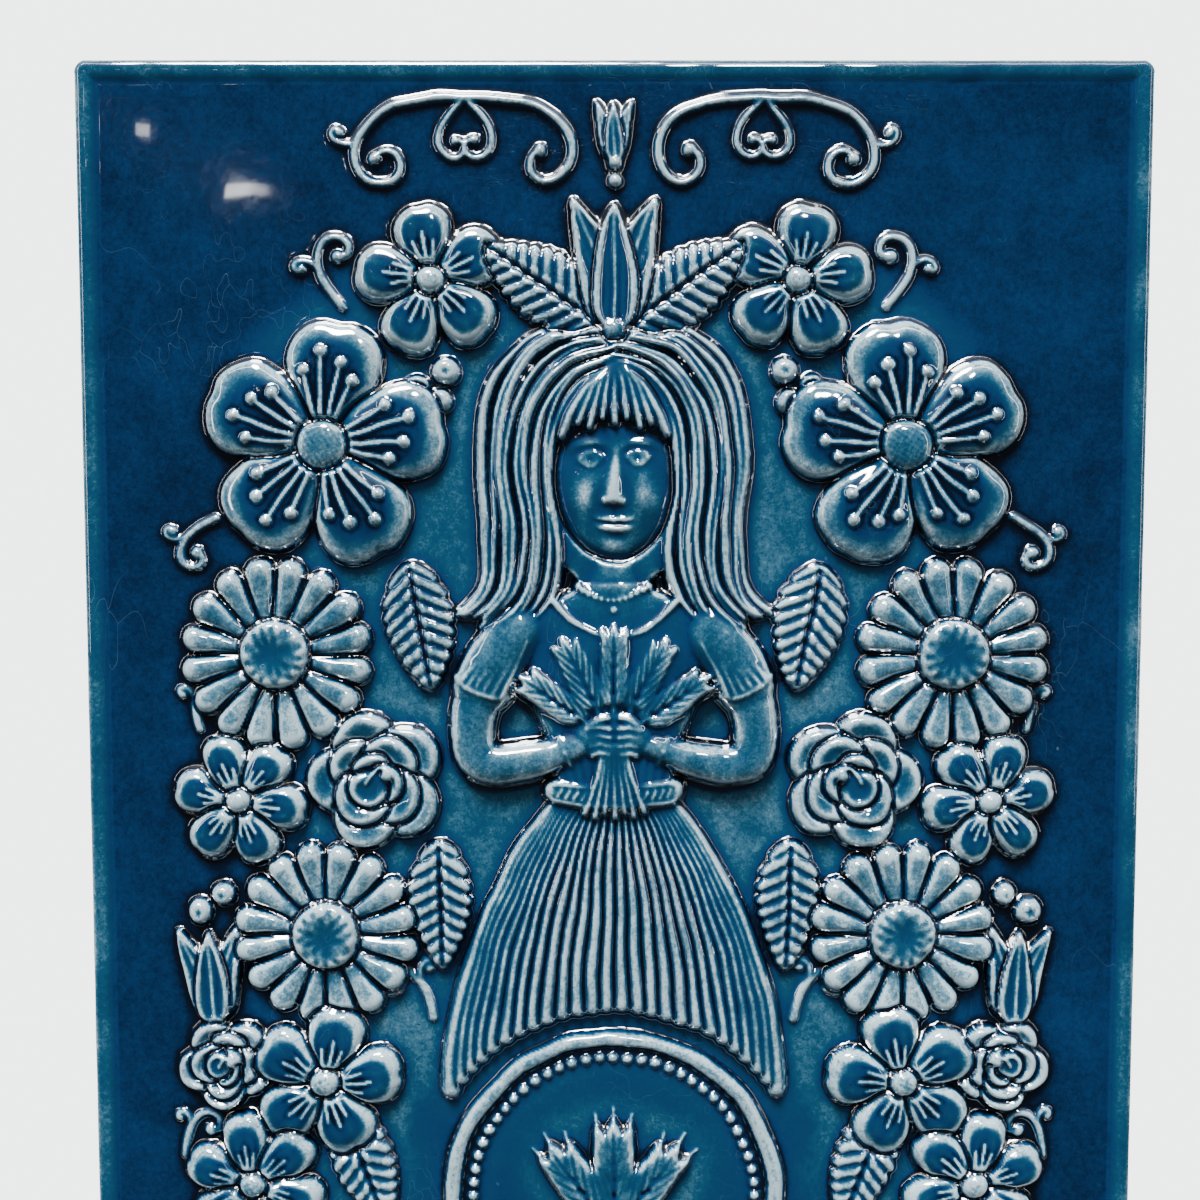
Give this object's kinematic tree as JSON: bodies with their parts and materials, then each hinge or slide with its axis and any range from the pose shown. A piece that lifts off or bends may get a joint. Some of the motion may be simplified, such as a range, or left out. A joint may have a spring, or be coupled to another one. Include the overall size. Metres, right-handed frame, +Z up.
{
  "type": "decorative wall plaque",
  "caption": "Rectangular glazed ceramic wall plaque with a maiden, flowers, scrolls and a round medallion in relief, and a recessed back with a hanging notch.",
  "frame": {"origin": "on the back, in the middle of the top rim, just above the hanging notch", "axes": "+Y points into the wall, the picture faces -Y, +Z is up and +X is to the viewer's right"},
  "size_m": [0.225, 0.02, 0.315],
  "materials": {
    "blue_glaze": "thick transparent blue-teal gloss glaze, pale on the ridges and dark in the hollows",
    "bare_clay": "unglazed pale fired clay on the back"
  },
  "bodies": {
    "root": {"plaque": "blue_glaze"}
  },
  "joints": []
}
